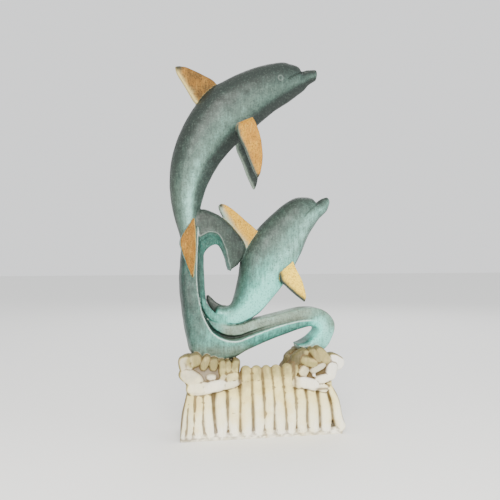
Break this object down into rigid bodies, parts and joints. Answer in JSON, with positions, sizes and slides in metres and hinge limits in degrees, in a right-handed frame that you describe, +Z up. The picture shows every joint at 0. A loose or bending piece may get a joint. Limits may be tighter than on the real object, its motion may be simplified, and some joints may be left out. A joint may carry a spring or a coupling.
{
  "type": "wooden dolphin sculpture",
  "caption": "Carved wooden ornament of leaping dolphins over a curling wave, standing on its own flat block of root wood cut into upright fingers.",
  "frame": {"origin": "on the flat underside, in the middle of the base", "axes": "+Z up out of the base towards the upper dolphin, front of the carving towards -Y, beaks towards +X"},
  "size_m": [0.2237, 0.0805, 0.4894],
  "materials": {
    "carved_wood": "weathered grey-green paint with ochre fins over wood, bleached bare root wood below"
  },
  "bodies": {
    "root": {"dolphin_carving": "carved_wood"}
  },
  "joints": []
}
